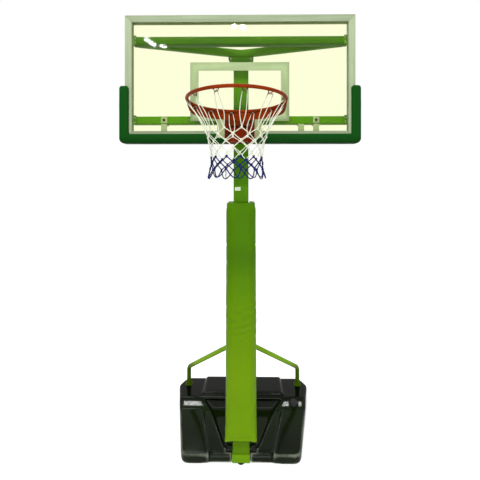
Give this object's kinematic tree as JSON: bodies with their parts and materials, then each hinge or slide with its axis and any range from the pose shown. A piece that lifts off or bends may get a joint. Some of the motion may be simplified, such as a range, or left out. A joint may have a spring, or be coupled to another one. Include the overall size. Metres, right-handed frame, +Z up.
{
  "type": "adjustable basketball stand",
  "caption": "Free-standing basketball stand: glazed backboard with breakaway ring and net on a padded telescopic mast, braced by bent struts to a ballast tank.",
  "frame": {"origin": "on the floor, under the middle of the stand's bounding box", "axes": "+Z up along the mast, +X to the right as a player faces the board, +Y away from the player, so the board and the ring face -Y"},
  "size_m": [1.434, 1.547, 2.892],
  "materials": {
    "tank_plastic": "glossy black moulded plastic",
    "rubber": "matt black rubber",
    "black_plastic": "satin black plastic",
    "bright_green_paint": "satin bright green paint",
    "green_paint": "satin green paint",
    "pole_pad_vinyl": "bright green vinyl cover over foam",
    "edge_pad_foam": "dark green moulded foam with a skin",
    "frame_aluminium": "pale brushed aluminium",
    "pane_glass": "clear pane with a pale tint",
    "square_paint": "pale grey-green lines on the pane",
    "rim_paint": "orange-red powder coat",
    "zinc": "zinc-plated steel",
    "black_steel": "blackened steel",
    "grey_paint": "pale grey paint",
    "net_cord": "knotted cord, white above and blue below"
  },
  "bodies": {
    "base": {"base_tank": "tank_plastic", "cap_seal": "rubber", "pole_foot": "bright_green_paint", "foot_pad": "rubber", "tie_rod": "black_steel", "lower_pole": "bright_green_paint", "pole_collar": "black_plastic", "stop_plate": "zinc", "strut_left": "bright_green_paint", "strut_right": "bright_green_paint", "strut_bracket": "bright_green_paint", "strut_foot_left": "bright_green_paint", "strut_foot_right": "bright_green_paint", "pole_pad": "pole_pad_vinyl", "pad_strap_upper": "black_plastic", "pad_strap_middle": "black_plastic", "pad_strap_lower": "black_plastic", "clamp_boss": "bright_green_paint"},
    "fill_cap": {"fill_cap": "black_plastic"},
    "lock_knob": {"lock_knob": "black_plastic"},
    "mast": {"upper_pole": "green_paint", "mast_cap": "black_plastic", "guide_shoe": "black_plastic", "head_plate": "green_paint", "head_clamp": "green_paint", "head_bolt_left": "zinc", "head_bolt_right": "zinc", "arm_left": "green_paint", "arm_right": "green_paint", "upper_beam": "green_paint", "lower_beam": "green_paint", "lower_spacer": "green_paint", "lower_beam_end_left": "green_paint", "lower_beam_end_right": "green_paint", "upper_beam_end_left": "green_paint", "upper_beam_end_right": "green_paint", "rail_top": "frame_aluminium", "rail_bottom": "frame_aluminium", "rail_left": "frame_aluminium", "rail_right": "frame_aluminium", "glass_pane": "pane_glass", "target_square": "square_paint", "glazing_gasket": "rubber", "board_padding": "edge_pad_foam", "rim_mount_plate": "grey_paint", "rail_bracket_left": "grey_paint", "rail_bracket_centre": "grey_paint", "rail_bracket_right": "grey_paint", "beam_bolt_left": "grey_paint", "beam_bolt_right": "grey_paint", "rim_housing": "rim_paint", "pivot_pin": "zinc", "rim_bolt_high_left": "black_steel", "rim_bolt_high_right": "black_steel", "rim_bolt_low_left": "black_steel", "rim_bolt_low_right": "black_steel", "rim_spring": "black_steel"},
    "rim": {"rim": "rim_paint", "net": "net_cord", "spring_bolt": "zinc"}
  },
  "joints": [
    {"name": "mast_lift", "type": "slide", "parent": "base", "child": "mast", "axis": [0, 0, 1], "range_m": [0, 0.762]},
    {"name": "rim_tilt", "type": "hinge", "parent": "mast", "child": "rim", "pos_m": [0, -0.2565, 2.222], "axis": [1, 0, 0], "range_deg": [0, 15], "stiffness_Nm_per_rad": 200, "springref_deg": -17.19, "deforming": ["rim_spring"]},
    {"name": "lock_knob_turn", "type": "hinge", "parent": "base", "child": "lock_knob", "pos_m": [0, 0.2, 1.655], "axis": [0, 1, 0], "range_deg": [0, 720]},
    {"name": "fill_cap_turn", "type": "hinge", "parent": "base", "child": "fill_cap", "pos_m": [0.408, 0.489, 0.1275], "axis": [0, -0.7071, 0.7071], "range_deg": [0, 720]}
  ]
}
